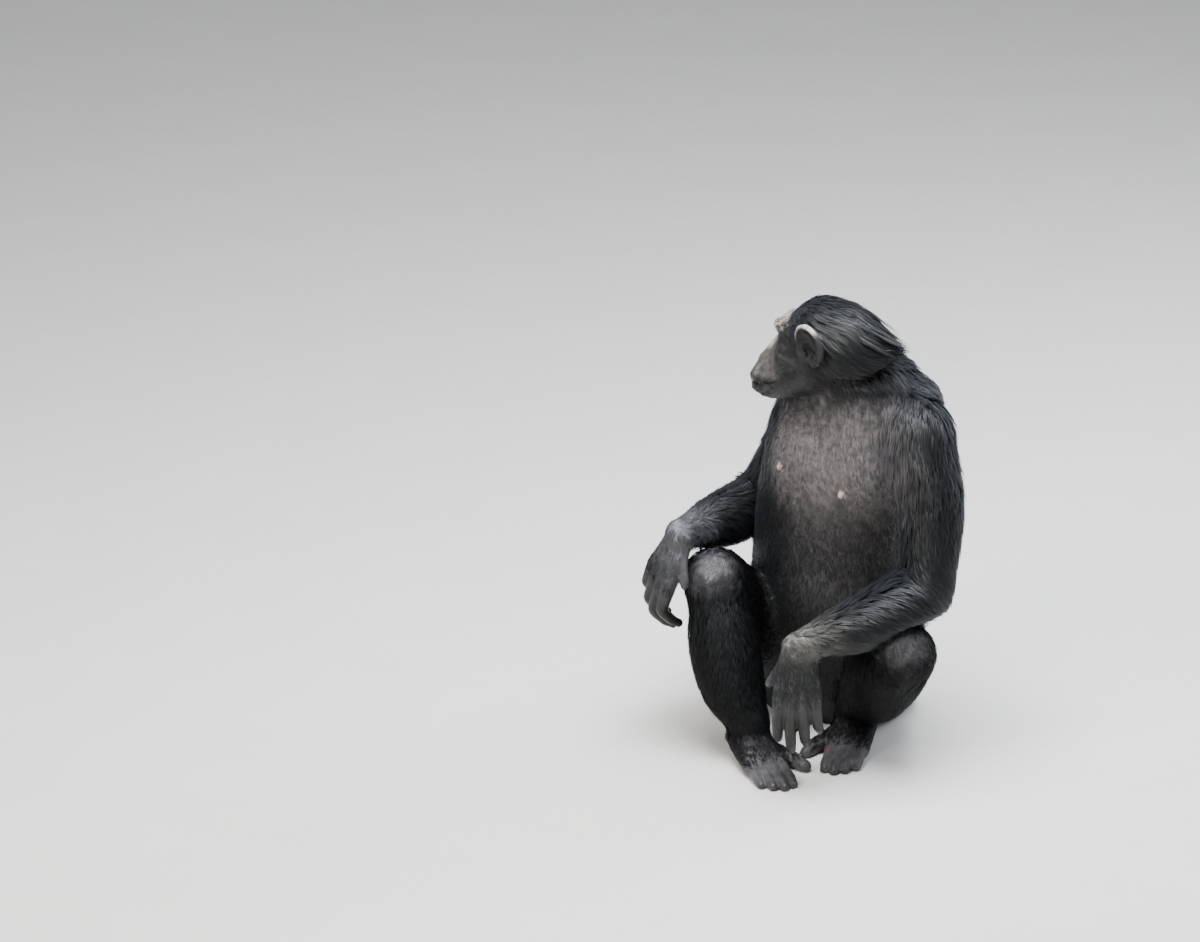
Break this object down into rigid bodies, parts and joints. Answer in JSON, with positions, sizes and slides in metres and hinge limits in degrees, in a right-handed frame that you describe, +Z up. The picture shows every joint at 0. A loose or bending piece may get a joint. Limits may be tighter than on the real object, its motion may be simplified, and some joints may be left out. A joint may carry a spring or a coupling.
{
  "type": "chimpanzee",
  "caption": "Life-size still model of an adult chimpanzee sitting on its haunches, forearms across its drawn-up knees and head turned over one shoulder.",
  "frame": {"origin": "on the floor, at the middle of the box round the whole animal", "axes": "+Z up, -Y the way the feet point and the side the picture is taken from, +X to the right in the picture, which is the animal's left"},
  "size_m": [0.5664, 0.5277, 0.8228],
  "materials": {
    "coat": "black hair with a grey sheen",
    "face": "dark bare skin, lighter at the brow and muzzle",
    "ear": "bare skin with a pale rim",
    "bare_skin": "creased dark grey skin",
    "eye": "wet dark brown"
  },
  "bodies": {
    "root": {"head": "face", "neck": "coat", "torso": "coat", "ear_left": "ear", "ear_right": "ear", "eye_left": "eye", "eye_right": "eye", "upper_arm_left": "coat", "upper_arm_right": "coat", "forearm_left": "coat", "forearm_right": "coat", "hand_left": "bare_skin", "hand_right": "bare_skin", "thigh_left": "coat", "thigh_right": "coat", "lower_leg_left": "coat", "lower_leg_right": "coat", "foot_left": "bare_skin", "foot_right": "bare_skin"}
  },
  "joints": []
}
